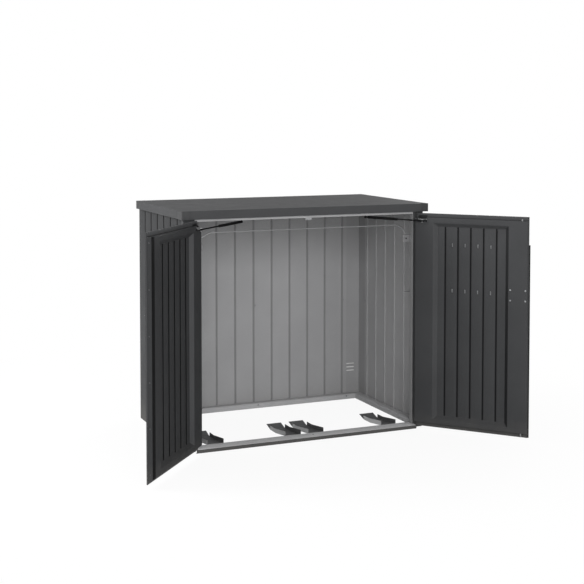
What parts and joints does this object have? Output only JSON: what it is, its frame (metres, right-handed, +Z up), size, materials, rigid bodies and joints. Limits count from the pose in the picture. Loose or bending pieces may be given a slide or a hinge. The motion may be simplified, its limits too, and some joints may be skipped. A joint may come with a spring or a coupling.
{
  "type": "wheelie bin store",
  "caption": "Flat-roofed sheet steel store for wheeled bins, open to the ground, with hinged front doors on gas struts, bolt lock, wheel cradles and a wire lid bail.",
  "frame": {"origin": "centre of the body's plan (posts' front face to the back wall's outer face) at ground level, which is the centre of the four floor anchor holes", "axes": "+X to the right seen from the front, +Y from the doors to the back wall, +Z up; doors stand open at rest"},
  "size_m": [2.1399, 1.354, 1.27],
  "materials": {
    "dark_paint": "satin powder coat, dark grey",
    "liner_paint": "satin powder coat, dark grey",
    "light_primer": "light grey coat on the inside of the sheets",
    "galvanised": "galvanised",
    "black_steel": "semi-gloss black",
    "cradle_steel": "satin",
    "cap_plastic": "dark grey, fine grain",
    "black_rubber": "matt"
  },
  "bodies": {
    "shed_frame": {"front_sill": "dark_paint", "rear_floor_rail": "light_primer", "left_floor_rail": "light_primer", "right_floor_rail": "light_primer", "left_front_post": "dark_paint", "right_front_post": "dark_paint", "left_corner_panel": "light_primer", "right_corner_panel": "light_primer", "left_back_panel": "light_primer", "right_back_panel": "light_primer", "left_side_panel": "light_primer", "right_side_panel": "light_primer", "header_rail": "light_primer", "rear_top_rail": "light_primer", "left_top_rail": "light_primer", "right_top_rail": "light_primer", "roof_panel": "dark_paint", "roof_front_caps": "cap_plastic", "roof_rear_caps": "cap_plastic", "roof_stiffeners": "light_primer", "catch_plate": "galvanised", "wheel_cradle_1": "cradle_steel", "wheel_cradle_2": "cradle_steel", "wheel_cradle_3": "cradle_steel", "wheel_cradle_4": "cradle_steel", "bail_clips": "galvanised", "hinge_frame_leaves": "galvanised", "hinge_pins": "galvanised", "strut_header_brackets": "galvanised", "panel_screws": "galvanised"},
    "left_door": {"left_door_skin": "dark_paint", "left_door_liner": "liner_paint", "left_door_seal": "black_rubber", "left_door_rivets": "galvanised", "left_hinge_door_leaves": "galvanised", "left_strut_door_bracket": "galvanised"},
    "right_door": {"right_door_skin": "dark_paint", "right_door_liner": "liner_paint", "overlap_strip": "dark_paint", "hook_rails": "galvanised", "lock_screws": "galvanised", "lock_plate": "galvanised", "handle_plate": "black_steel", "rod_guides": "cap_plastic", "right_hinge_door_leaves": "galvanised", "right_strut_door_bracket": "galvanised"},
    "bail": {"lid_bail": "galvanised"},
    "lock_handle": {"lock_disc": "galvanised", "handle_lever": "black_steel"},
    "top_bolt": {"top_bolt_rod": "galvanised"},
    "bottom_bolt": {"bottom_bolt_rod": "galvanised"},
    "left_strut_stem": {"left_strut_rod": "black_steel"},
    "left_strut_body": {"left_strut_cylinder": "black_steel"},
    "right_strut_stem": {"right_strut_rod": "black_steel"},
    "right_strut_body": {"right_strut_cylinder": "black_steel"}
  },
  "joints": [
    {"name": "left_door_hinge", "type": "hinge", "parent": "shed_frame", "child": "left_door", "pos_m": [-0.6529, -0.4241, 0.6], "axis": [0, 0, 1], "range_deg": [0, 130.6]},
    {"name": "right_door_hinge", "type": "hinge", "parent": "shed_frame", "child": "right_door", "pos_m": [0.6529, -0.4241, 0.6], "axis": [0, 0, -1], "range_deg": [0, 130.6]},
    {"name": "bail_swing", "type": "hinge", "parent": "shed_frame", "child": "bail", "pos_m": [0, -0.373, 0.77], "axis": [-1, 0, 0], "range_deg": [0, 90]},
    {"name": "handle_turn", "type": "hinge", "parent": "right_door", "child": "lock_handle", "pos_m": [1.04193, -0.87799, 0.795], "axis": [-0.7593, -0.6508, 0], "range_deg": [0, 90]},
    {"name": "top_bolt_slide", "type": "slide", "parent": "right_door", "child": "top_bolt", "axis": [0, 0, 1], "range_m": [0, 0.0184]},
    {"name": "bottom_bolt_slide", "type": "slide", "parent": "right_door", "child": "bottom_bolt", "axis": [0, 0, -1], "range_m": [0, 0.0184]},
    {"name": "left_strut_swing", "type": "hinge", "parent": "left_door", "child": "left_strut_stem", "pos_m": [-0.64637, -0.5053, 1.18], "axis": [-0.009, -0.0073, -0.9999], "range_deg": [0, 156.76]},
    {"name": "left_strut_slide", "type": "slide", "parent": "left_strut_stem", "child": "left_strut_body", "axis": [-0.8875, -0.4569, -0.0606], "range_m": [0, 0.08534]},
    {"name": "right_strut_swing", "type": "hinge", "parent": "right_door", "child": "right_strut_stem", "pos_m": [0.64637, -0.5053, 1.18], "axis": [-0.009, 0.0073, 0.9999], "range_deg": [0, 156.76]},
    {"name": "right_strut_slide", "type": "slide", "parent": "right_strut_stem", "child": "right_strut_body", "axis": [0.8875, -0.4569, -0.0606], "range_m": [0, 0.08534]}
  ],
  "couplings": [
    {"joint": "left_strut_swing", "follows": "left_door_hinge", "ratio": 1.2003},
    {"joint": "left_strut_slide", "follows": "left_door_hinge", "m_per_rad": 0.037435},
    {"joint": "right_strut_swing", "follows": "right_door_hinge", "ratio": 1.2003},
    {"joint": "right_strut_slide", "follows": "right_door_hinge", "m_per_rad": 0.037435},
    {"joint": "top_bolt_slide", "follows": "handle_turn", "m_per_rad": 0.011704},
    {"joint": "bottom_bolt_slide", "follows": "handle_turn", "m_per_rad": 0.011704}
  ]
}
